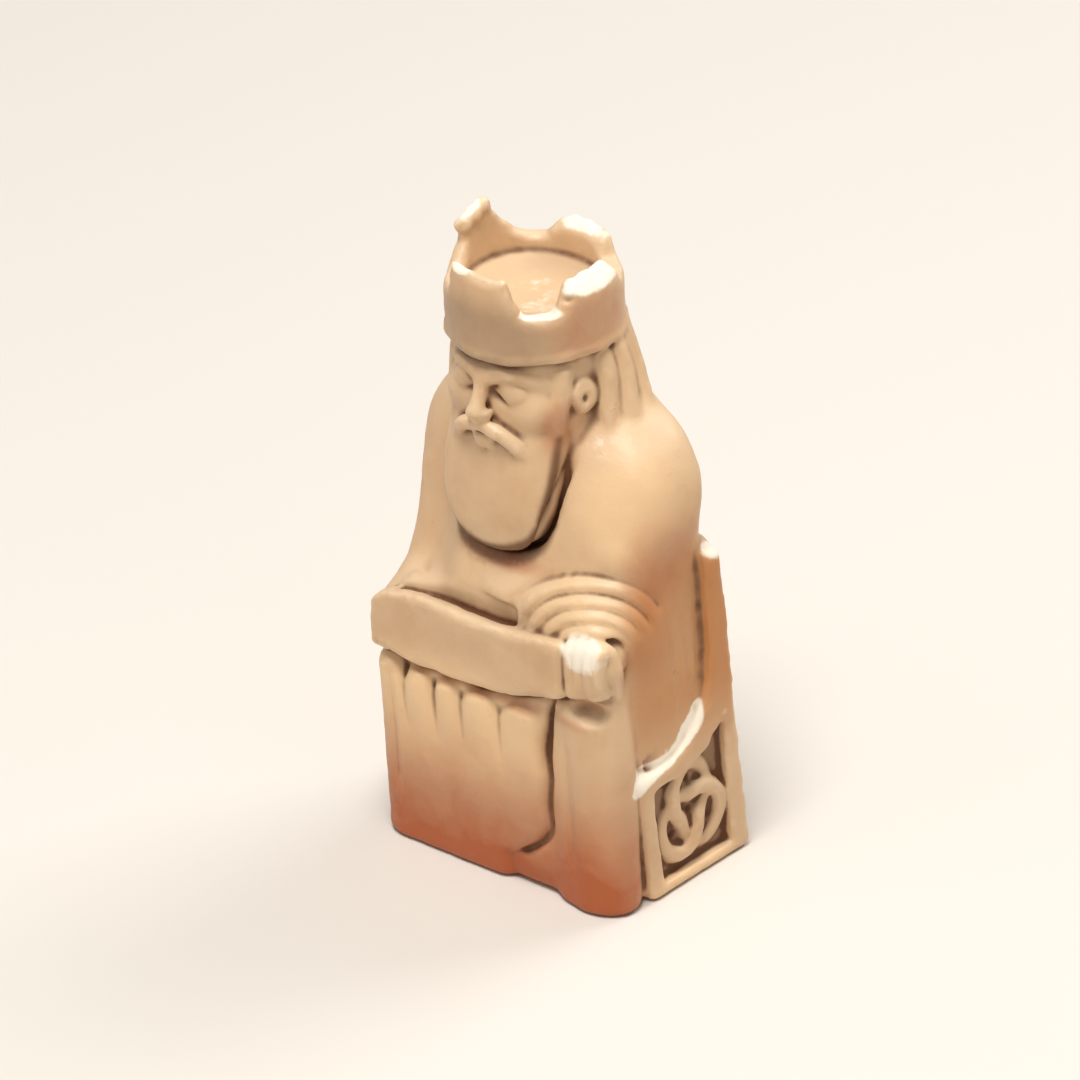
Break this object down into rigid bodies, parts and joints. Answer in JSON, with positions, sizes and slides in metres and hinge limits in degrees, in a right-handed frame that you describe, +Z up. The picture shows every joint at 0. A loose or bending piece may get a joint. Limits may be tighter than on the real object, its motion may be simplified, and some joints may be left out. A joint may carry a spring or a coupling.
{
  "type": "seated king chess piece",
  "caption": "Medieval-style seated king chess piece: crowned and bearded, sheathed sword across the knees, on a throne with knotwork panels; cast in one piece.",
  "frame": {"origin": "middle of the flat underside, on the board", "axes": "+Z up from the underside to the crown, -Y is the way the king faces, +X is at the king's left hand"},
  "size_m": [0.039, 0.024, 0.08],
  "materials": {
    "cast_resin": "satin"
  },
  "bodies": {
    "root": {"seated_king": "cast_resin"}
  },
  "joints": []
}
